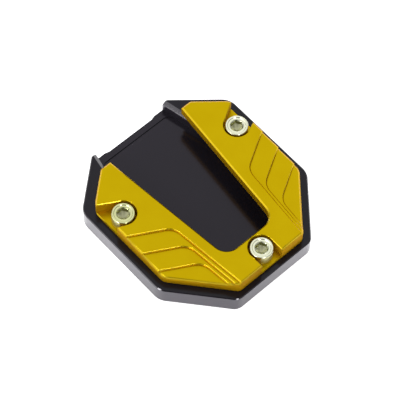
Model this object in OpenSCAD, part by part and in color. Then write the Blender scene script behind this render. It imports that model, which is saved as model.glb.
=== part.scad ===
// Foot enlarger for a motorbike's kickstand: a black base plate with a pocket for the stand's foot,
// a gold clamp plate that is screwed down over it, and three socket cap screws.
// +Y points at the open mouth of the pocket, +Z is up, and the origin is under the middle of the base plate.

/* [Base plate] */
// Width of the base plate across its two sides
base_w = 85; // [80:0.5:95]
// Length of the base plate from the front edge to the mouth
base_l = 92.5; // [88:0.5:104]
// Thickness of the base plate
base_h = 9.5; // [8.5:0.5:12]
// Width across the mouth, between the sharp corners of the horns
mouth_w = 43.2; // [41:0.2:48]
// Width of the straight front edge, between its sharp corners
front_w = 41.4; // [38:0.2:48]
// How far back from the mouth the base plate reaches its full width
shoulder_run = 18.05; // [15:0.05:20]
// How far behind the front edge the base plate reaches its full width
flank_run = 25.3; // [22:0.1:28]
// Corner radius at the shoulders
shoulder_r = 8; // [5:0.5:10]
// Corner radius where the sides meet the front slants
flank_r = 7.5; // [5:0.5:10]
// Corner radius at the ends of the front edge
front_r = 5; // [3:0.5:8]
// Corner radius at the tips of the horns
horn_tip_r = 0.6; // [0.5:0.1:1]
// Chamfer around the top rim
rim_chamfer = 0.4; // [0.2:0.1:0.5]
// Chamfer around the underside
sole_chamfer = 0.3; // [0.2:0.1:0.5]

/* [Pocket] */
// Height of the pocket floor above the underside
floor_h = 3; // [2:0.5:4]
// Rise of the lip at the mouth above the pocket floor
lip_rise = 0.5; // [0.3:0.1:1]
// Width of the lip from the mouth edge to the pocket floor
lip_w = 3.5; // [2.5:0.5:5]
// Corner radius of the pocket floor at the lip
lip_r = 4.2; // [3:0.2:5]
// Width of each horn at the mouth edge, from the pocket to its sharp outer corner
horn_w = 2.55; // [2.1:0.05:3.6]
// Angle of each side wall behind the mouth
throat_angle = 12.1; // [10:0.1:14]
// How far the pocket reaches under the clamp plate, beside the slot
overhang = 4.95; // [3:0.05:5.5]
// Corner radius where the pocket stops widening
throat_r = 6; // [4:0.5:8]
// Corner radius at the closed end of the pocket
pocket_r = 8; // [6:0.5:9]
// Chamfer on the pocket's top edge
pocket_chamfer = 1.7; // [1:0.1:2]
// Depth of the shallow notch in the mouth edge
notch_d = 0.6; // [0.3:0.1:1]
// Width of the notch where it is deepest
notch_w = 24.6; // [20:0.2:28]
// Length of each slanted end of the notch
notch_slant = 1.8; // [1:0.1:2.5]

/* [Clamp plate] */
// Thickness of the clamp plate
clamp_h = 8; // [7.5:0.5:9]
// Width of the rim left bare along the shoulders
shoulder_ledge = 5.75; // [5:0.05:6.5]
// Width of the rim left bare along the sides
side_ledge = 3.7; // [3:0.1:4.5]
// Width of the rim left bare along the front slants
flank_ledge = 3.75; // [3:0.05:4.5]
// Width of the rim left bare along the front edge
front_ledge = 2.45; // [2:0.05:3.5]
// How far the ends of the arms stay behind the mouth edge
arm_setback = 10.95; // [9:0.05:12]
// Corner radius at the shoulders of the clamp plate
clamp_shoulder_r = 5; // [3:0.5:6]
// Corner radius where its sides meet the front slants
clamp_flank_r = 5; // [3:0.5:6]
// Corner radius at the ends of its front edge
clamp_front_r = 2.5; // [2:0.5:5]
// Corner radius at the outer end of each arm
arm_r = 1.5; // [1:0.1:2]
// Chamfer around the top and the bottom of the clamp plate
clamp_chamfer = 0.7; // [0.4:0.1:1]
// Depth of the recess in its underside, over the pocket
recess_d = 3.2; // [2:0.1:4]

/* [Slot] */
// Distance between the slot and the side of the base plate, at the middle of the plate
slot_margin = 25.85; // [25.5:0.05:27.5]
// Angle of each side of the slot
slot_angle = 5.9; // [5:0.1:7]
// Distance from the front edge of the base plate to the closed end of the slot
slot_inset = 15.8; // [15.6:0.1:18]
// Corner radius at the closed end of the slot
slot_r = 6.5; // [5:0.5:8]
// Chamfer on the top edge of the slot
slot_chamfer = 0.6; // [0.3:0.1:0.8]

/* [Feather relief] */
// Number of steps on each arm
feather_count = 3; // [1:1:3]
// Height of each step
feather_drop = 1; // [0.5:0.1:1]
// Chamfer on the top edge of each step
feather_chamfer = 0.45; // [0.2:0.05:0.45]
// Where the first step meets the side, measured along Y from the middle of the plate
feather_start = 3.77; // [2:0.1:5]
// Distance between steps along the side
feather_pitch = 10; // [8:0.5:10]
// Slope of the steps across the arm
feather_angle = 30; // [25:1:35]
// Radius of the bend where a step turns along the slot
feather_r = 7; // [5:0.5:9]
// Width of the flat land between the slot and the first step
feather_land = 5.3; // [5:0.05:6]
// Distance between steps where they run along the slot
feather_gap = 1.6; // [1:0.1:2]

/* [Screws] */
// Distance of the side screws from the sides of the base plate
side_screw_inset = 10.2; // [9.5:0.1:11]
// Distance of the side screws behind the middle
side_screw_y = 13.05; // [11:0.05:14]
// Distance of the front screw from the front edge of the base plate
front_screw_inset = 9; // [8.8:0.1:9.2]
// Thread diameter
screw_d = 6; // [5:0.5:6]
// Head diameter
head_d = 10; // [8.5:0.5:10]
// Head height
head_h = 6; // [4.8:0.1:6]
// Length under the head
screw_l = 10; // [8:0.5:10]
// Width across the flats of the socket
socket_w = 5; // [4:0.5:5]
// Depth of the socket
socket_d = 3; // [2:0.5:3.5]
// Chamfer around the mouth of the socket
socket_chamfer = 0.35; // [0.2:0.05:0.5]
// Depth of the drill point below the socket
drill_point = 1.2; // [0.8:0.1:1.5]
// Chamfer on the top edge of the head
head_chamfer = 0.4; // [0.3:0.1:0.8]
// Width of the raised rim on top of the head, inside its chamfer
head_rim_w = 0.6; // [0.3:0.1:0.8]
// Depth of the dished face inside that rim
dish_d = 0.25; // [0.1:0.05:0.3]
// Clearance between the head and its counterbore, all round
head_clearance = 0.75; // [0.5:0.05:0.8]
// Chamfer on the top edge of the counterbores, and on the outer edge of their floors
counterbore_chamfer = 0.3; // [0.2:0.05:0.35]
// Clearance between the thread and the hole through the clamp plate, all round
hole_clearance = 0.3; // [0.2:0.05:0.5]
// Clearance between the thread and the tapped hole, all round
thread_clearance = 0.05; // [0.03:0.01:0.1]
// How far the heads lie below the top of the clamp plate
head_sink = 0.2; // [0:0.1:0.5]
// How much closer than the counterbore's wall the opening's sides pass the screw's axis
opening_inset = 0.1; // [0.05:0.05:0.3]
// Direction in which the rear side of a side counterbore's opening runs
opening_rear_angle = 30.7; // [28:0.1:33]
// Direction in which the front side of a side counterbore's opening runs
opening_front_angle = 21; // [18:0.5:24]

/* [Hidden] */

// Segments of a full circle in the rounded outlines, and in true bores and screws
outline_fn = 64;
round_fn = 96;
// Flats in the bend of each step
bend_segments = 10;
// Overshoot of a cut past the face that it leaves through, and how far a chamfer's cut starts below its edge
cut_over = 1;
cut_under = 0.2;
// How far the chamfer at the socket's mouth clears the hexagon's corners
socket_lip = 0.15;
// How far the open ends of the pocket and the slot run out past the mouth, and their corner radius there
run_out = 10;
run_out_r = 1;

base_black = "#232027";
clamp_gold = "#C8A80C";
screw_zinc = "#DDE0B4";

mouth_y = base_l / 2;
front_y = -base_l / 2;
slot_end_y = front_y + slot_inset;
arm_end_y = mouth_y - arm_setback;
clamp_top = base_h + clamp_h;
clamp_half = base_w / 2 - side_ledge;
seat_z = clamp_top - head_sink - head_h;
counterbore_r = head_d / 2 + head_clearance;
side_screw = [base_w / 2 - side_screw_inset, side_screw_y];
front_screw = [0, front_y + front_screw_inset];

// Outline of the base plate on its right side, from the mouth to the front edge
base_right = [
    [mouth_w / 2, mouth_y],
    [base_w / 2, mouth_y - shoulder_run],
    [base_w / 2, front_y + flank_run],
    [front_w / 2, front_y]
];
base_radii = [horn_tip_r, shoulder_r, flank_r, front_r];

// The unit vector on the right of the way from a to b, and a slanted edge moved that way by its ledge
// and crossed with a line of constant x or y
function unit(v) = v / norm(v);
function right_of(a, b) = let (u = unit(b - a)) [u[1], -u[0]];
function shifted(a, b, ledge) = [a + ledge * right_of(a, b), unit(b - a)];
function at_x(line, x) = line[0] + line[1] * (x - line[0][0]) / line[1][0];
function at_y(line, y) = line[0] + line[1] * (y - line[0][1]) / line[1][1];

shoulder_line = shifted(base_right[0], base_right[1], shoulder_ledge);
flank_line = shifted(base_right[2], base_right[3], flank_ledge);
clamp_right = [
    at_y(shoulder_line, arm_end_y),
    at_x(shoulder_line, clamp_half),
    at_x(flank_line, clamp_half),
    at_y(flank_line, front_y + front_ledge)
];
clamp_radii = [arm_r, clamp_shoulder_r, clamp_flank_r, clamp_front_r];

mouth_half = mouth_w / 2 - horn_w;
slot_half = base_w / 2 - slot_margin;
// Half width of the slot, and of the pocket beside it, at a place along Y
function slot_x(y) = slot_half + y * tan(slot_angle);
function throat_x(y) = mouth_half + (mouth_y - y) * tan(throat_angle);
function beside_x(y) = slot_x(y) + overhang;
throat_y = (mouth_half + mouth_y * tan(throat_angle) - slot_half - overhang)
    / (tan(slot_angle) + tan(throat_angle));
// The pocket runs out past the mouth, and its floor stops at the lip
past_mouth_y = mouth_y + run_out;
lip_y = mouth_y - lip_w;
pocket_right = [[throat_x(past_mouth_y), past_mouth_y], [throat_x(throat_y), throat_y],
    [beside_x(slot_end_y), slot_end_y]];
pocket_radii = [run_out_r, throat_r, pocket_r];
floor_right = [[throat_x(lip_y), lip_y], [throat_x(throat_y), throat_y], [beside_x(slot_end_y), slot_end_y]];
floor_radii = [lip_r, throat_r, pocket_r];
slot_right = [[slot_x(past_mouth_y), past_mouth_y], [slot_x(slot_end_y), slot_end_y]];
slot_radii = [run_out_r, slot_r];

// A closed outline from its right side, with the left side as its mirror image
function both_sides(right) = concat(right, [for (i = [len(right) - 1 : -1 : 0]) [-right[i][0], right[i][1]]]);
function both_radii(radii) = concat(radii, [for (i = [len(radii) - 1 : -1 : 0]) radii[i]]);

// Centre of the arc of radius r that rounds the corner b between its neighbours a and c
function arc_centre(a, b, c, r) = let (u = unit(a - b), w = unit(c - b), half = acos(u * w) / 2)
    b + unit(u + w) * r / sin(half);
function arc_centres(points, radii) = let (n = len(points))
    [for (i = [0 : n - 1]) arc_centre(points[(i + n - 1) % n], points[i], points[(i + 1) % n], radii[i])];

// A plate with a rounded convex outline, chamfered below and above
module plate(right, right_radii, h, below, above) {
    radii = both_radii(right_radii);
    centres = arc_centres(both_sides(right), radii);
    hull() {
        for (i = [0 : len(radii) - 1]) {
            translate(centres[i]) {
                cylinder(r = radii[i] - below, h = h / 2, $fn = outline_fn);
                translate([0, 0, below]) cylinder(r = radii[i], h = h - below - above, $fn = outline_fn);
                translate([0, 0, h / 2]) cylinder(r = radii[i] - above, h = h / 2, $fn = outline_fn);
            }
        }
    }
}

// A rounded convex outline that grows by spread over its height h
module flare(right, right_radii, h, spread) {
    radii = both_radii(right_radii);
    centres = arc_centres(both_sides(right), radii);
    hull() {
        for (i = [0 : len(radii) - 1]) {
            translate(centres[i]) cylinder(r1 = radii[i], r2 = radii[i] + spread, h = h, $fn = outline_fn);
        }
    }
}

// A solid from the outline low at z_low to the outline high at z_high, point for point
module loft(low, high, z_low, z_high) {
    n = len(low);
    polyhedron(
        points = concat([for (p = low) [p[0], p[1], z_low]], [for (p = high) [p[0], p[1], z_high]]),
        faces = concat([[for (k = [0 : n - 1]) k]], [[for (k = [2 * n - 1 : -1 : n]) k]],
            [for (k = [0 : n - 1]) [k, n + k, n + (k + 1) % n, (k + 1) % n]]));
}

// Places its child at the left and the right side, and at the front screw
module at_left() {
    mirror([1, 0, 0]) children();
}

module at_screws() {
    translate(side_screw) children();
    at_left() translate(side_screw) children();
    translate(front_screw) children();
}

// The notch along the mouth edge: a shallow trapezoid
module mouth_notch() {
    inner = notch_w / 2;
    outer = inner + notch_slant * (notch_d + cut_over) / notch_d;
    translate([0, 0, -cut_over]) {
        linear_extrude(floor_h + lip_rise + 2 * cut_over) {
            polygon([[-inner, mouth_y - notch_d], [inner, mouth_y - notch_d],
                [outer, mouth_y + cut_over], [-outer, mouth_y + cut_over]]);
        }
    }
}

module base_plate() {
    lip_z = floor_h + lip_rise;
    wall_top = base_h - pocket_chamfer;
    color(base_black) {
        difference() {
            plate(base_right, base_radii, base_h, sole_chamfer, rim_chamfer);
            translate([0, 0, floor_h]) plate(floor_right, floor_radii, base_h, 0, 0);
            translate([0, 0, lip_z]) plate(pocket_right, pocket_radii, base_h, 0, 0);
            translate([0, 0, wall_top]) {
                flare(pocket_right, pocket_radii, pocket_chamfer + cut_over, pocket_chamfer + cut_over);
            }
            mouth_notch();
            at_screws() {
                translate([0, 0, -cut_over]) {
                    cylinder(r = screw_d / 2 + thread_clearance, h = base_h + 2 * cut_over, $fn = round_fn);
                }
            }
        }
    }
}

// Where step i turns: its slope across the arm meets its run along the slot
function feather_run_x(i, y) = slot_x(y) + feather_land + i * feather_gap;
function feather_side_y(i) = feather_start - i * feather_pitch;
function feather_bend_y(i) = let (slope = tan(feather_angle), taper = tan(slot_angle))
    (feather_side_y(i) + slope * (feather_run_x(i, 0) - clamp_half)) / (1 - slope * taper);

// Outline of the area beyond step i on the right arm, widened by d: a corner of radius feather_r between
// two straight runs
function feather_outline(i, d) =
    let (
        bend = [feather_run_x(i, feather_bend_y(i)), feather_bend_y(i)],
        side_x = clamp_half + run_out,
        far_side = [side_x, feather_side_y(i) + run_out * tan(feather_angle)],
        far_front = [feather_run_x(i, front_y), front_y],
        centre = arc_centre(far_side, bend, far_front, feather_r),
        turn_from = 90 + feather_angle,
        turn_to = 180 - slot_angle,
        arc = [for (k = [0 : bend_segments]) let (a = turn_from + (turn_to - turn_from) * k / bend_segments)
            centre + (feather_r + d) * [cos(a), sin(a)]]
    )
    concat([far_side + [0, d / cos(feather_angle)]], arc,
        [far_front - [d / cos(slot_angle), 0], [side_x, front_y]]);

// The cut beyond step i, and the flaring cut that chamfers its top edge, which is at height h
module feather_cut(i) {
    translate([0, 0, -cut_over]) linear_extrude(clamp_h + 2 * cut_over) polygon(feather_outline(i, 0));
}

module feather_edge(i, h) {
    loft(feather_outline(i, -cut_under), feather_outline(i, feather_chamfer + cut_over),
        h - feather_chamfer - cut_under, h + cut_over);
}

// The outer body: one plate for each level, the higher ones kept back behind their steps
module clamp_body() {
    for (level = [0 : feather_count]) {
        level_h = clamp_h - level * feather_drop;
        difference() {
            plate(clamp_right, clamp_radii, level_h, clamp_chamfer, clamp_chamfer);
            if (level < feather_count) {
                feather_cut(level);
                at_left() feather_cut(level);
                feather_edge(level, level_h);
                at_left() feather_edge(level, level_h);
            }
        }
    }
}

// Outline of a counterbore's opening, widened by d: it runs out along +X, and its two sides slope by the
// angles rear and front and leave the counterbore almost tangentially
function opening_outline(rear, front, d) =
    let (
        side = counterbore_r - opening_inset + d,
        rear_start = side * [-sin(rear), cos(rear)],
        front_start = side * [sin(front), -cos(front)],
        end_x = 2 * run_out
    )
    [[0, 0], front_start, [end_x, front_start[1] + (end_x - front_start[0]) * tan(front)],
        [end_x, rear_start[1] + (end_x - rear_start[0]) * tan(rear)], rear_start];

// A counterbore from its floor up, with its opening and their chamfers; wall is the distance from its axis
// to the outer wall of the clamp plate
module counterbore(rear, front, wall) {
    edge = counterbore_chamfer;
    linear_extrude(clamp_h) {
        circle(r = counterbore_r, $fn = round_fn);
        polygon(opening_outline(rear, front, 0));
    }
    translate([0, 0, clamp_top - seat_z]) {
        translate([0, 0, -edge - cut_under]) {
            cylinder(r1 = counterbore_r - cut_under, r2 = counterbore_r + edge + cut_over,
                h = edge + cut_under + cut_over, $fn = round_fn);
        }
        loft(opening_outline(rear, front, -cut_under), opening_outline(rear, front, edge + cut_over),
            -edge - cut_under, cut_over);
    }
    intersection() {
        translate([0, 0, -edge]) linear_extrude(2 * edge) polygon(opening_outline(rear, front, 0));
        rotate([90, 0, 0]) {
            linear_extrude(4 * run_out, center = true) {
                polygon([[wall - edge - cut_over, cut_over], [wall + cut_over, -edge - cut_over],
                    [wall + cut_over, cut_over]]);
            }
        }
    }
}

module side_counterbore() {
    translate(side_screw) {
        counterbore(opening_rear_angle, opening_front_angle, side_screw_inset - side_ledge);
    }
}

module clamp_plate() {
    color(clamp_gold) {
        difference() {
            translate([0, 0, base_h]) clamp_body();
            translate([0, 0, base_h - cut_over]) plate(slot_right, slot_radii, clamp_h + 2 * cut_over, 0, 0);
            translate([0, 0, clamp_top - slot_chamfer]) {
                flare(slot_right, slot_radii, slot_chamfer + cut_over, slot_chamfer + cut_over);
            }
            translate([0, 0, base_h - cut_over]) {
                plate(pocket_right, pocket_radii, recess_d + cut_over, 0, 0);
            }
            translate([0, 0, seat_z]) {
                side_counterbore();
                at_left() side_counterbore();
                translate(front_screw) rotate(-90) counterbore(0, 0, front_screw_inset - front_ledge);
            }
            at_screws() {
                translate([0, 0, base_h - cut_over]) {
                    cylinder(r = screw_d / 2 + hole_clearance, h = clamp_h, $fn = round_fn);
                }
            }
        }
    }
}

// A socket cap screw, seated at the height seat_z
module cap_screw() {
    head_r = head_d / 2;
    shank_r = screw_d / 2;
    tip_chamfer = 0.8;
    rim_outer = head_r - head_chamfer;
    rim_inner = rim_outer - head_rim_w;
    dish_z = head_h - dish_d;
    socket_z = head_h - socket_d;
    socket_corner = socket_w / 2 / cos(30);
    mouth_r = socket_corner + socket_lip;
    color(screw_zinc) {
        translate([0, 0, seat_z]) {
            difference() {
                rotate_extrude($fn = round_fn) {
                    polygon([[0, -screw_l], [shank_r - tip_chamfer, -screw_l],
                        [shank_r, tip_chamfer - screw_l], [shank_r, 0], [head_r, 0],
                        [head_r, head_h - head_chamfer], [rim_outer, head_h],
                        [rim_inner, head_h], [rim_inner - dish_d, dish_z], [0, dish_z]]);
                }
                translate([0, 0, socket_z]) cylinder(r = socket_corner, h = socket_d + cut_over, $fn = 6);
                translate([0, 0, socket_z - drill_point]) {
                    cylinder(r1 = 0, r2 = socket_w / 2, h = drill_point, $fn = round_fn);
                }
                translate([0, 0, dish_z - socket_chamfer]) {
                    cylinder(r1 = mouth_r - socket_chamfer, r2 = mouth_r + cut_over,
                        h = socket_chamfer + cut_over, $fn = round_fn);
                }
            }
        }
    }
}

module cap_screw_left() {
    at_left() translate(side_screw) cap_screw();
}

module cap_screw_right() {
    translate(side_screw) cap_screw();
}

module cap_screw_front() {
    translate(front_screw) cap_screw();
}

base_plate();
clamp_plate();
cap_screw_left();
cap_screw_right();
cap_screw_front();
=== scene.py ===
"""Foot enlarger for a motorbike's kickstand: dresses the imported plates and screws, in a plain studio."""
import math

import bmesh
import bpy
import numpy as np
from mathutils import Matrix, Vector


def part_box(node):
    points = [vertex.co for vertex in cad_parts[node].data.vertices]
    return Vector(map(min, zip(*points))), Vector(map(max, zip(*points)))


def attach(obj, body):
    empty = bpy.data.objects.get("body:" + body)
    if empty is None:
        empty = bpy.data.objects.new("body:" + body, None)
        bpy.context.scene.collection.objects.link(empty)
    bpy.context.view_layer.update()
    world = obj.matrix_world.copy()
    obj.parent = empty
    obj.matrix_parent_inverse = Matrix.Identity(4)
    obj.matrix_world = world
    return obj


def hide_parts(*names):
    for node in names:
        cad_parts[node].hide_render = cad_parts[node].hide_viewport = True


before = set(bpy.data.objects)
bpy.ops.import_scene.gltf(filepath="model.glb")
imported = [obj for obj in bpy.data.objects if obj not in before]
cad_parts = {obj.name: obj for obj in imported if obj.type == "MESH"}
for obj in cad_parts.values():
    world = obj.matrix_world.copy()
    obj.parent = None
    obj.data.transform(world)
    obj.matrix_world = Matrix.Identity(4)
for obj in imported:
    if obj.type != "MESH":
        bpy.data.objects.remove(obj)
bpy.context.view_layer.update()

bl_info = {
    "name": "Kickstand Foot Enlarger",
    "version": (1, 0, 0),
    "blender": (4, 5, 0),
    "location": "3D View > Sidebar > Enlarger",
    "description": "Builds an anodised kickstand foot enlarger and a plain studio for it",
    "category": "Object",
}

MM = 0.001
BODY = "root"
SCREW_NODES = ["cap_screw_left", "cap_screw_right", "cap_screw_front"]


# Sizes and colours that a user would change

class PlateSettings(bpy.types.PropertyGroup):
    """Dye colours of the two machined plates."""
    black: bpy.props.StringProperty(
        name="Black", description="Dye colour of the base plate, as sRGB hex", default="1A181E")
    gold: bpy.props.StringProperty(
        name="Gold", description="Dye colour of the clamp plate, as sRGB hex", default="D1B50C")
    # The walls' darker, more orange colour is painted shade: it stands in for the redder tone of the gold
    # where its walls fall into shade
    gold_walls_painted_shade: bpy.props.StringProperty(
        name="Gold walls", description="Dye colour on its side walls, as sRGB hex", default="C29606")


class ScrewSettings(bpy.types.PropertyGroup):
    """Sizes and colours of the socket cap screws."""
    head_height: bpy.props.FloatProperty(
        name="Head height", description="Height of the head above its seat",
        default=6 * MM, unit="LENGTH", precision=4)
    thread_pitch: bpy.props.FloatProperty(
        name="Thread pitch", description="Distance between neighbouring turns of the thread",
        default=1 * MM, unit="LENGTH", precision=4)
    zinc: bpy.props.StringProperty(
        name="Zinc", description="Colour of the plating, as sRGB hex", default="F2F2DA")
    yellow_zinc: bpy.props.StringProperty(
        name="Yellow zinc", description="Colour of the left screw's plating, which is more passivated",
        default="DEE0AE")
    # The socket's darker colour is painted shade in the recess; its higher roughness is the duller plating
    # there
    socket: bpy.props.StringProperty(
        name="Socket", description="Colour of the plating in the socket, as sRGB hex", default="CCCCA8")
    # The side's yellower, darker colour is a painted reflection of the gold round the head; the dullness
    # from turning is its roughness
    side: bpy.props.StringProperty(
        name="Side", description="Colour of the plating on the head's side, as sRGB hex",
        default="DCD69C")


class StudioSettings(bpy.types.PropertyGroup):
    """Camera and lights."""
    azimuth: bpy.props.FloatProperty(
        name="Camera azimuth", description="Direction in which the camera looks, clockwise from +Y",
        default=math.radians(43.947), subtype="ANGLE")
    elevation: bpy.props.FloatProperty(
        name="Camera elevation", description="Angle at which the camera looks down",
        default=math.radians(61.27), subtype="ANGLE")
    roll: bpy.props.FloatProperty(
        name="Camera roll", description="Turn of the camera about its own axis",
        default=math.radians(2.109), subtype="ANGLE")
    distance: bpy.props.FloatProperty(
        name="Camera distance", description="Distance of the camera from the point that it looks at",
        default=825.69 * MM, unit="LENGTH")
    lens: bpy.props.FloatProperty(
        name="Focal length", description="Focal length on a 36 mm sensor, in millimetres",
        default=173.15, unit="CAMERA")
    key_power: bpy.props.FloatProperty(
        name="Key power", description="Power of the key light, in watts", default=1.2, unit="POWER")
    fill: bpy.props.FloatProperty(
        name="Fill", description="Strength of the soft light from all round", default=0.35)


PROPERTY_GROUPS = {
    "enlarger_plates": PlateSettings,
    "enlarger_screws": ScrewSettings,
    "enlarger_studio": StudioSettings,
}


# Materials

# Finishes of the base plate, in the order of its materials: name, roughness, IOR, tint of the mirrored
# light as sRGB hex, and weight of the coat
BLACK_FINISHES = [
    ("black_anodised_blasted_faces", 0.14, 1.39, "F7F1FF", 0.0),
    ("black_anodised_profiled_walls", 0.3, 2.0, "F1E7FF", 0.6),
    ("black_anodised_rim", 0.17, 1.32, "F7F9FF", 0.0),
    ("black_anodised_edges", 0.14, 1.75, "FAF7FF", 0.0),
]

# Finishes of the clamp plate, in the order of its materials: name, setting that holds its colour, shade
# to which that drifts as sRGB hex, metallic, roughness, and weight of the coat
GOLD_FINISHES = [
    ("gold_anodised_milled_faces", "gold", "C7A706", 1.0, 0.38, 0.0),
    # The walls' darker, more orange colours are painted shade; their rougher, less mirroring finish is real
    ("gold_anodised_profiled_walls_painted_shade", "gold_walls_painted_shade", "B88C04", 0.7, 0.55, 0.0),
    ("gold_anodised_edges", "gold", "C7A706", 1.0, 0.31, 0.3),
]

# Finishes of the screws: name, setting that holds its colour, shade to which that drifts as sRGB hex,
# and roughness
ZINC_FINISHES = [
    ("zinc_plated_steel", "zinc", "E8ECCC", 0.16),
    ("zinc_plated_steel_yellow", "yellow_zinc", "D2D69A", 0.16),
    # The socket's darker colour is painted shade in the recess
    ("zinc_plated_socket_painted_shade", "socket", "B4B48C", 0.33),
    # The side's yellower, darker colour is a painted reflection of the gold round the head
    ("zinc_plated_turned_side_painted_reflection", "side", "CEC688", 0.35),
]

# Width and depth of the blasted grain. The real one is about 0.1 mm wide and too fine to show, so it is
# drawn coarser.
GRAIN_WIDTH = 0.4 * MM
GRAIN_DEPTH = 0.05 * MM

# Width of the patches over which the dye and the passivation drift in colour
DYE_PATCH = 11.1 * MM
PASSIVATION_PATCH = 3.33 * MM

# Tint of the light that the gold mirrors at low angles, as sRGB hex
GOLD_TINT = "FFCE27"


def linear(code):
    """A linear colour from an sRGB hex code: each channel goes through the sRGB curve."""
    channels = np.array([int(code[i:i + 2], 16) for i in (0, 2, 4)]) / 255.0
    curved = np.where(channels <= 0.04045, channels / 12.92, ((channels + 0.055) / 1.055) ** 2.4)
    return (*curved, 1.0)


def add_node(tree, kind, inputs=None, **settings):
    """Adds a node. settings are its properties, and inputs maps each socket to a value or to a socket to
    link."""
    made = tree.nodes.new(kind)
    for name, value in settings.items():
        setattr(made, name, value)
    for name, value in (inputs or {}).items():
        if isinstance(value, bpy.types.NodeSocket):
            tree.links.new(value, made.inputs[name])
        else:
            made.inputs[name].default_value = value
    return made


def new_material(name):
    """A new material and its node tree, which is empty."""
    material = bpy.data.materials.new(name)
    material.use_nodes = True
    tree = material.node_tree
    tree.nodes.clear()
    return material, tree


def drifting_colour(tree, place, width, hue, shade):
    """A colour that drifts between a hue and a shade with soft noise, in patches of the given width."""
    drift = add_node(tree, "ShaderNodeTexNoise", {"Vector": place, "Scale": 1 / width})
    mixed = add_node(tree, "ShaderNodeMix", {
        "Factor": drift.outputs["Fac"], "A": linear(hue), "B": linear(shade)}, data_type="RGBA")
    return mixed.outputs["Result"]


def blasted_normals(tree, place, strength):
    """The normals of a blasted surface: fine noise lifts it by the grain's depth times the strength."""
    grain = add_node(tree, "ShaderNodeTexNoise", {"Vector": place, "Scale": 1 / GRAIN_WIDTH})
    bump = add_node(tree, "ShaderNodeBump", {
        "Strength": strength, "Distance": GRAIN_DEPTH, "Height": grain.outputs["Fac"]})
    return bump.outputs["Normal"]


def gold_anodised(name, hue, shade, metallic, roughness, coat):
    """Gold anodised aluminium, milled and lightly blasted: a dyed clear oxide over bright metal, which
    keeps its colour in reflections. Where the cutter's side left it rougher, the oxide scatters more and
    mirrors less. Edges that were broken after blasting are bright, which the coat gives."""
    material, tree = new_material(name)
    place = add_node(tree, "ShaderNodeTexCoord").outputs["Object"]
    shader = add_node(tree, "ShaderNodeBsdfPrincipled", {
        "Base Color": drifting_colour(tree, place, DYE_PATCH, hue, shade), "Metallic": metallic,
        "Roughness": roughness, "Specular Tint": linear(GOLD_TINT), "Coat Weight": coat,
        "Coat Roughness": 0.14, "Normal": blasted_normals(tree, place, strength=0.05)})
    add_node(tree, "ShaderNodeOutputMaterial", {"Surface": shader.outputs["BSDF"]})
    return material


def black_anodised(name, hue, roughness, ior, tint, coat):
    """Black anodised aluminium: a deep dyed oxide with a violet cast. Blasted top faces show next to
    nothing of their surroundings, which a low IOR gives. Walls burnished by the cutter's side mirror them
    at low angles, which a higher IOR and the coat give."""
    material, tree = new_material(name)
    place = add_node(tree, "ShaderNodeTexCoord").outputs["Object"]
    shader = add_node(tree, "ShaderNodeBsdfPrincipled", {
        "Base Color": linear(hue), "Metallic": 0.0, "Roughness": roughness, "IOR": ior,
        "Specular Tint": linear(tint), "Coat Weight": coat, "Coat Roughness": 0.2,
        "Normal": blasted_normals(tree, place, strength=0.03)})
    add_node(tree, "ShaderNodeOutputMaterial", {"Surface": shader.outputs["BSDF"]})
    return material


def zinc_plated(name, hue, shade, roughness):
    """Bright zinc plate on steel, passivated: a mirror with a faint yellow-green tint. It is duller inside
    the socket, and the fine marks of turning dull it on the head's side. The socket's darker colour is
    painted shade, and the side's yellower, darker colour is a painted reflection of the gold round the
    head."""
    material, tree = new_material(name)
    place = add_node(tree, "ShaderNodeTexCoord").outputs["Object"]
    shader = add_node(tree, "ShaderNodeBsdfPrincipled", {
        "Base Color": drifting_colour(tree, place, PASSIVATION_PATCH, hue, shade), "Metallic": 1.0,
        "Roughness": roughness})
    add_node(tree, "ShaderNodeOutputMaterial", {"Surface": shader.outputs["BSDF"]})
    return material


# Meshes

# How far a face's normal rises: walls stay below the first, chamfers at 45 degrees lie between the next
# two, and flat faces are above the last
WALL_RISE = 0.3
CHAMFER_RISE = (0.6, 0.8)
FLAT_RISE = 0.95

# Corners of a solid's triangles that are no further apart than this are merged
MERGE_DISTANCE = 0.001 * MM

# Neighbouring faces belong to one round stretch if they turn by less than this
ROUND_TURN = math.radians(12)

# Edges of a screw that turn by more than this stay sharp
SHARP_TURN = math.radians(35)

# Rim of a screw's head and the dish inside it: inset from the head's side and drop from its top, in mm
RIM_PROFILE = [
    (0.0, 0.45), (0.04, 0.28), (0.14, 0.13), (0.28, 0.03),
    (0.4, 0.0), (0.95, 0.0), (1.02, 0.05), (1.18, 0.25),
]

# Socket of a screw from the dish to the drill point: radius and drop from the head's top, in mm, and
# whether it is a hexagon there
SOCKET_PROFILE = [
    (3.1, 0.25, 0), (2.95, 0.3, 0), (2.5, 0.6, 1), (2.5, 3.0, 1), (2.4, 3.1, 0), (0.05, 4.2, 0),
]


def add_piece(name, mesh, finishes, node):
    """Links a mesh as a piece with the given materials, which rides on the body and stands for a node."""
    piece = bpy.data.objects.new(name, mesh)
    bpy.context.scene.collection.objects.link(piece)
    mesh.materials.clear()
    for finish in finishes:
        mesh.materials.append(finish)
    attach(piece, BODY)
    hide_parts(node)
    return piece


def deburred(edge, pocket):
    """Whether an edge is broken so softly that it shades as round: the lower edge of a chamfer on an outer
    wall or, where pocket is set, the upper edge of the pocket's chamfer."""
    low, high = sorted(edge.link_faces, key=lambda face: face.normal.z)
    least, most = CHAMFER_RISE
    at_wall = abs(low.normal.z) < WALL_RISE and least < high.normal.z < most
    at_top = least < low.normal.z < most and high.normal.z > FLAT_RISE
    middle = (edge.verts[0].co + edge.verts[1].co) / 2
    chamfer = low if at_top else high
    outer = chamfer.normal.xy.dot(middle.xy) > 0
    return (at_top and not outer) if pocket else (at_wall and outer)


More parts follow.
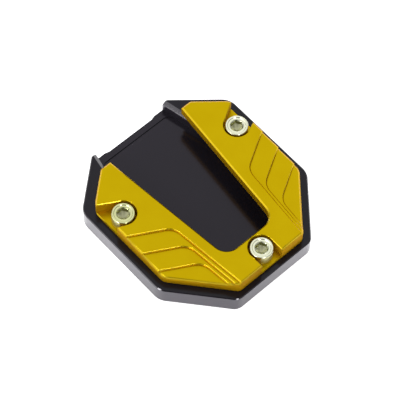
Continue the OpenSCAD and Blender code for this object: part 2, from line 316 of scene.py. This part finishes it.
def machined_copy(node, name, pocket):
    """A copy of a CAD node's triangles with the corners that they share merged. Its edges are sharp, apart
    from the deburred ones and those within a round stretch."""
    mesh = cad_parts[node].data.copy()
    mesh.name = name
    mesh.attributes.remove(mesh.attributes["custom_normal"])
    mesh.shade_smooth()
    work = bmesh.new()
    work.from_mesh(mesh)
    bmesh.ops.remove_doubles(work, verts=work.verts, dist=MERGE_DISTANCE)
    work.normal_update()
    for edge in work.edges:
        if len(edge.link_faces) == 2:
            edge.smooth = edge.calc_face_angle() < ROUND_TURN or deburred(edge, pocket)
    work.to_mesh(mesh)
    work.free()
    return mesh


def face_values(mesh, name):
    """One row of three for each face: its normal or its center, as named."""
    values = np.zeros(len(mesh.polygons) * 3)
    mesh.polygons.foreach_get(name, values)
    return values.reshape(-1, 3)


def sort_faces(mesh, walls, chamfers, top):
    """Gives the walls, the chamfers and the flat face on top their materials, by how far the normals rise.
    The other faces keep the first material."""
    tolerance = 0.1 * MM
    rise = face_values(mesh, "normal")[:, 2]
    height = face_values(mesh, "center")[:, 2]
    on_top = height > height.max() - tolerance
    chosen = np.select([rise < WALL_RISE, rise < FLAT_RISE, on_top], [walls, chamfers, top], 0)
    mesh.polygons.foreach_set("material_index", chosen.astype(np.int32))


def keep_flats(piece):
    """Shades by area, so that a flat face next to a rounded corner stays flat."""
    shade = piece.modifiers.new("flat_faces", "WEIGHTED_NORMAL")
    shade.mode = "FACE_AREA"
    shade.weight = 50
    shade.keep_sharp = True


def revolve(name, radii, heights, hexes, offset):
    """A surface of rows round +Z, whose first and last rows close on a point. Row i lies at heights[i], and
    its radius at each step round is in radii[i]. Where hexes[i] is 1, the row is a hexagon whose half width
    is that radius: it is divided by the cosine of the angle to the middle of the hexagon's side."""
    count, around = radii.shape
    turn = np.linspace(0, 2 * np.pi, around, endpoint=False)
    stretch = 1 / np.cos(turn % (np.pi / 3) - np.pi / 6)
    reach = radii * np.where(hexes[:, None] > 0, stretch, 1.0)
    rows = np.stack([
        reach * np.cos(turn), reach * np.sin(turn), np.broadcast_to(heights[:, None], reach.shape)], -1)
    ends = [[0, 0, heights[0]], [0, 0, heights[-1]]]
    points = np.concatenate([rows.reshape(-1, 3), ends]) + offset

    row, step = np.meshgrid(np.arange(count - 1), np.arange(around), indexing="ij")
    along = (step + 1) % around
    quads = np.stack([
        row * around + step, row * around + along,
        (row + 1) * around + along, (row + 1) * around + step], -1).reshape(-1, 4)
    ring = np.arange(around)
    after = (ring + 1) % around
    last = (count - 1) * around
    low = np.stack([np.full(around, count * around), after, ring], -1)
    high = np.stack([np.full(around, count * around + 1), last + ring, last + after], -1)
    mesh = bpy.data.meshes.new(name)
    mesh.from_pydata(points.tolist(), [], quads.tolist() + low.tolist() + high.tolist())
    mesh.update()
    return mesh


def axis_point(box):
    """The middle of a box, seen from above, at height zero."""
    low, high = box
    return np.array([(low.x + high.x) / 2, (low.y + high.y) / 2, 0])


def screw_mesh(node, name, settings):
    """An M6 socket cap screw: rows from the tip up the thread, over the head and down into the socket. The
    thread's phase is its height over the pitch less the part of a turn, so it climbs by a pitch a turn.
    Its radius rises and falls evenly with the phase, between a flat root and a flat crest."""
    low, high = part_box(node)
    around = 96
    rows_per_pitch = 8
    pitch = settings.thread_pitch
    thread_r = 3 * MM
    thread_depth = 0.6 * pitch
    flat = 0.1
    tip_chamfer = 0.8 * MM
    runout = 0.6 * MM
    neck_r = 2.95 * MM
    neck_length = 0.5 * MM
    foot_chamfer = 0.15 * MM
    head_r = (high.x - low.x) / 2
    top = high.z
    seat = top - settings.head_height

    turn = np.linspace(0, 1, around, endpoint=False)
    thread_z = np.arange(low.z + tip_chamfer, seat - runout, pitch / rows_per_pitch)
    phase = (thread_z[:, None] / pitch - turn) % 1.0
    ridge = np.clip((np.abs(2 * phase - 1) - flat) / (1 - 2 * flat), 0, 1)
    thread = thread_r - thread_depth * (1 - ridge)

    tip = np.full((1, around), thread_r - tip_chamfer)
    head_radii, head_z, head_hexes = np.array([
        (neck_r, seat - neck_length, 0),
        (neck_r, seat, 0),
        (head_r - foot_chamfer, seat, 0),
        (head_r, seat + foot_chamfer, 0),
        *((head_r - inset * MM, top - drop * MM, 0) for inset, drop in RIM_PROFILE),
        *((radius * MM, top - drop * MM, hexagon) for radius, drop, hexagon in SOCKET_PROFILE),
    ]).T
    radii = np.concatenate([tip, thread, np.repeat(head_radii[:, None], around, 1)])
    heights = np.concatenate([[low.z], thread_z, head_z])
    hexes = np.concatenate([np.zeros(1 + len(thread_z)), head_hexes])
    return revolve(name, radii, heights, hexes, axis_point((low, high)))


def sort_screw_faces(mesh, box):
    """Gives the second material to the socket, which is inside its corner circle and below the dish, and
    the third to the head's side. Depths are below the top of the head."""
    corner_r = 2.9 * MM
    side_r = 4.8 * MM
    side_start = 0.4 * MM
    socket_start = 0.5 * MM
    socket_end = 4.5 * MM
    centres = face_values(mesh, "center")
    away = np.hypot(*(centres - axis_point(box)).T[:2])
    depth = box[1].z - centres[:, 2]
    socket = (away < corner_r) & (depth > socket_start) & (depth < socket_end)
    side = (away > side_r) & (depth > side_start)
    chosen = np.select([socket, side], [1, 2], 0)
    mesh.polygons.foreach_set("material_index", chosen.astype(np.int32))


# Operators

class ENLARGER_OT_base_plate(bpy.types.Operator):
    """Finish the base plate in black anodised aluminium"""
    bl_idname = "enlarger.base_plate"
    bl_label = "Base plate"

    def execute(self, context):
        settings = context.scene.enlarger_plates
        mesh = machined_copy("base_plate", "black_base_plate", True)
        finishes = [black_anodised(name, settings.black, *looks) for name, *looks in BLACK_FINISHES]
        piece = add_piece("black_base_plate", mesh, finishes, "base_plate")
        sort_faces(mesh, walls=1, chamfers=3, top=2)
        keep_flats(piece)
        return {"FINISHED"}


class ENLARGER_OT_clamp_plate(bpy.types.Operator):
    """Finish the clamp plate in gold anodised aluminium"""
    bl_idname = "enlarger.clamp_plate"
    bl_label = "Clamp plate"

    def execute(self, context):
        settings = context.scene.enlarger_plates
        mesh = machined_copy("clamp_plate", "gold_clamp_plate", False)
        finishes = [
            gold_anodised(name, getattr(settings, hue), *looks) for name, hue, *looks in GOLD_FINISHES]
        piece = add_piece("gold_clamp_plate", mesh, finishes, "clamp_plate")
        sort_faces(mesh, walls=1, chamfers=2, top=0)
        keep_flats(piece)
        return {"FINISHED"}


class ENLARGER_OT_cap_screws(bpy.types.Operator):
    """Make the three socket cap screws"""
    bl_idname = "enlarger.cap_screws"
    bl_label = "Cap screws"

    def execute(self, context):
        settings = context.scene.enlarger_screws
        # socket carries the painted shade in the socket, and side the painted reflection of the gold on the
        # head's side
        plating, yellow_plating, socket, side = [
            zinc_plated(name, getattr(settings, hue), *looks) for name, hue, *looks in ZINC_FINISHES]
        for node in SCREW_NODES:
            name = node.replace("cap", "zinc_cap")
            mesh = screw_mesh(node, name, settings)
            head = yellow_plating if node == "cap_screw_left" else plating
            add_piece(name, mesh, [head, socket, side], node)
            sort_screw_faces(mesh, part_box(node))
            mesh.shade_smooth()
            mesh.set_sharp_from_angle(angle=SHARP_TURN)
        return {"FINISHED"}


class ENLARGER_OT_studio(bpy.types.Operator):
    """Set the floor, the lights and the camera"""
    bl_idname = "enlarger.studio"
    bl_label = "Studio"

    def execute(self, context):
        settings = context.scene.enlarger_studio
        add_floor()
        add_key_light(settings.key_power)
        add_surround(settings.fill)
        add_camera(settings)
        context.scene.view_settings.view_transform = "Standard"
        return {"FINISHED"}


# Studio

# Softboxes round the part: azimuth, elevation, radius of the even middle and of the soft edge, in
# degrees, and strength, which is added to the fill
SOFTBOXES = [
    (44, 62, 26, 46, 0.62),
    (44, 12, 20, 40, 0.3),
    (285, 20, 24, 50, 1.0),
    (286, 20, 4, 9, 1.5),
    (200, 28, 6, 10, 9.0),
    (271, 24, 2.5, 4.5, 14.0),
    (264, 25, 2.5, 4.5, 22.0),
    (257, 27, 2.5, 4.5, 32.0),
]

# Dark side of the studio: the same four, and the share of the light that is left there
DARK_SIDE = (237, 32, 12, 26, 0.1)

WHITE = linear("FFFFFF")


def toward(azimuth, elevation):
    """The unit vector toward a compass direction, clockwise from +Y, and a rise over the horizon, both in
    degrees."""
    azimuth = math.radians(azimuth)
    elevation = math.radians(elevation)
    level = math.cos(elevation)
    return Vector((math.sin(azimuth) * level, math.cos(azimuth) * level, math.sin(elevation)))


def white_floor():
    """Matt white paper. Where the camera sees it, it glows up to white, less the shadow. In reflections its
    glow fades with the distance toward painted_shade_azimuth: painted shade where the part's shadow falls,
    on the camera's side. From below it is clear, so that the sole shows."""
    camera_glow = 0.8
    # Toward this azimuth the floor's glow in reflections fades, which is painted shade where the part's
    # shadow falls
    painted_shade_azimuth = 222
    near = 20 * MM
    far = 58 * MM
    near_glow = 0.75
    far_glow = 0.12
    material, tree = new_material("white_studio_floor")
    path = add_node(tree, "ShaderNodeLightPath")
    place = add_node(tree, "ShaderNodeTexCoord")
    reach = add_node(tree, "ShaderNodeVectorMath", {
        0: place.outputs["Object"], 1: toward(painted_shade_azimuth, 0)}, operation="DOT_PRODUCT")
    painted_shade_fade = add_node(tree, "ShaderNodeMapRange", {
        "Value": reach.outputs["Value"], "From Min": near, "From Max": far,
        "To Min": near_glow, "To Max": far_glow})
    mirrored = add_node(tree, "ShaderNodeMath", {
        0: path.outputs["Is Glossy Ray"], 1: painted_shade_fade.outputs["Result"]}, operation="MULTIPLY")
    strength = add_node(tree, "ShaderNodeMath", {
        0: path.outputs["Is Camera Ray"], 1: camera_glow, 2: mirrored.outputs["Value"]},
        operation="MULTIPLY_ADD")
    paper = add_node(tree, "ShaderNodeBsdfDiffuse", {"Color": linear("E7E7E7")})
    glow = add_node(tree, "ShaderNodeEmission", {"Color": WHITE, "Strength": strength.outputs["Value"]})
    both = add_node(tree, "ShaderNodeAddShader", {0: paper.outputs["BSDF"], 1: glow.outputs["Emission"]})
    clear = add_node(tree, "ShaderNodeBsdfTransparent")
    below = add_node(tree, "ShaderNodeNewGeometry")
    one_way = add_node(tree, "ShaderNodeMixShader", {
        0: below.outputs["Backfacing"], 1: both.outputs["Shader"], 2: clear.outputs["BSDF"]})
    add_node(tree, "ShaderNodeOutputMaterial", {"Surface": one_way.outputs["Shader"]})
    return material


def add_floor():
    """A white floor, so little under the sole that the part stands on it."""
    half_width = 3.0
    level = -0.02 * MM
    signs = [(-1, -1), (1, -1), (1, 1), (-1, 1)]
    corners = [(x * half_width, y * half_width, level) for x, y in signs]
    mesh = bpy.data.meshes.new("studio_floor")
    mesh.from_pydata(corners, [], [(0, 1, 2, 3)])
    mesh.materials.append(white_floor())
    floor = bpy.data.objects.new("studio_floor", mesh)
    bpy.context.scene.collection.objects.link(floor)


def add_key_light(power):
    """A small round lamp behind the part, which casts the shadows and is left out of reflections."""
    away = 0.65
    way = toward(azimuth=36, elevation=56)
    data = bpy.data.lights.new("key_light", "AREA")
    data.shape = "DISK"
    data.size = 25 * MM
    data.energy = power
    lamp = bpy.data.objects.new("key_light", data)
    lamp.location = way * away
    lamp.rotation_euler = way.to_track_quat("Z", "Y").to_euler()
    lamp.visible_glossy = False
    bpy.context.scene.collection.objects.link(lamp)


def add_surround(fill):
    """A world that is white to the camera and lights the part with the fill and the softboxes, less on the
    dark side."""
    world = bpy.data.worlds.new("studio_world")
    bpy.context.scene.world = world
    world.use_nodes = True
    tree = world.node_tree
    tree.nodes.clear()
    way = add_node(tree, "ShaderNodeTexCoord").outputs["Generated"]

    def patch(azimuth, elevation, inner, outer, inside, outside):
        """A strength that goes from inside to outside with the angle from a direction: it eases with that
        angle's cosine between the inner and the outer radius."""
        dot = add_node(tree, "ShaderNodeVectorMath", {
            0: way, 1: toward(azimuth, elevation)}, operation="DOT_PRODUCT")
        eased = add_node(tree, "ShaderNodeMapRange", {
            "Value": dot.outputs["Value"], "From Min": math.cos(math.radians(outer)),
            "From Max": math.cos(math.radians(inner)), "To Min": outside, "To Max": inside},
            interpolation_type="SMOOTHSTEP")
        return eased.outputs["Result"]

    level = fill
    for softbox in SOFTBOXES:
        glow = patch(*softbox, outside=0.0)
        level = add_node(tree, "ShaderNodeMath", {0: level, 1: glow}, operation="ADD").outputs["Value"]
    left = patch(*DARK_SIDE, outside=1.0)
    lit = add_node(tree, "ShaderNodeMath", {0: level, 1: left}, operation="MULTIPLY")
    path = add_node(tree, "ShaderNodeLightPath")
    soft = add_node(tree, "ShaderNodeBackground", {"Color": WHITE, "Strength": lit.outputs["Value"]})
    white = add_node(tree, "ShaderNodeBackground", {"Color": WHITE, "Strength": 1.0})
    seen = add_node(tree, "ShaderNodeMixShader", {
        0: path.outputs["Is Camera Ray"], 1: soft.outputs["Background"], 2: white.outputs["Background"]})
    add_node(tree, "ShaderNodeOutputWorld", {"Surface": seen.outputs["Shader"]})


def add_camera(settings):
    """A pinhole camera that looks along its azimuth and elevation at a point close to the part's origin."""
    aim = Vector((1.873, 2.523, 1.673)) * MM
    azimuth = math.degrees(settings.azimuth)
    ahead = toward(azimuth, -math.degrees(settings.elevation))
    level = toward(azimuth + 90, 0)
    above = level.cross(ahead)
    right = level * math.cos(settings.roll) + above * math.sin(settings.roll)
    up = above * math.cos(settings.roll) - level * math.sin(settings.roll)
    data = bpy.data.cameras.new("camera")
    data.lens = settings.lens
    data.sensor_width = 36
    camera = bpy.data.objects.new("camera", data)
    turn = Matrix((right, up, -ahead)).transposed().to_4x4()
    camera.matrix_world = Matrix.Translation(aim - ahead * settings.distance) @ turn
    bpy.context.scene.collection.objects.link(camera)
    bpy.context.scene.camera = camera


# Sidebar and registration

class ENLARGER_PT_panel(bpy.types.Panel):
    """Lists the settings and the steps"""
    bl_label = "Foot enlarger"
    bl_space_type = "VIEW_3D"
    bl_region_type = "UI"
    bl_category = "Enlarger"

    def draw(self, context):
        for group in PROPERTY_GROUPS:
            box = self.layout.box()
            settings = getattr(context.scene, group)
            for name in settings.bl_rna.properties.keys():
                if name not in ("rna_type", "name"):
                    box.prop(settings, name)
        for operator in OPERATORS:
            self.layout.operator(operator.bl_idname)


OPERATORS = [ENLARGER_OT_base_plate, ENLARGER_OT_clamp_plate, ENLARGER_OT_cap_screws, ENLARGER_OT_studio]


def register():
    """Registers the classes and gives the scene its settings."""
    for item in [*PROPERTY_GROUPS.values(), *OPERATORS, ENLARGER_PT_panel]:
        bpy.utils.register_class(item)
    for name, group in PROPERTY_GROUPS.items():
        setattr(bpy.types.Scene, name, bpy.props.PointerProperty(type=group))


def unregister():
    """Takes the settings from the scene and the classes out again."""
    for name in PROPERTY_GROUPS:
        delattr(bpy.types.Scene, name)
    for item in reversed([*PROPERTY_GROUPS.values(), *OPERATORS, ENLARGER_PT_panel]):
        bpy.utils.unregister_class(item)


def main():
    """Registers the add-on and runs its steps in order."""
    register()
    bpy.ops.enlarger.base_plate()
    bpy.ops.enlarger.clamp_plate()
    bpy.ops.enlarger.cap_screws()
    bpy.ops.enlarger.studio()


if __name__ == "__main__":
    main()
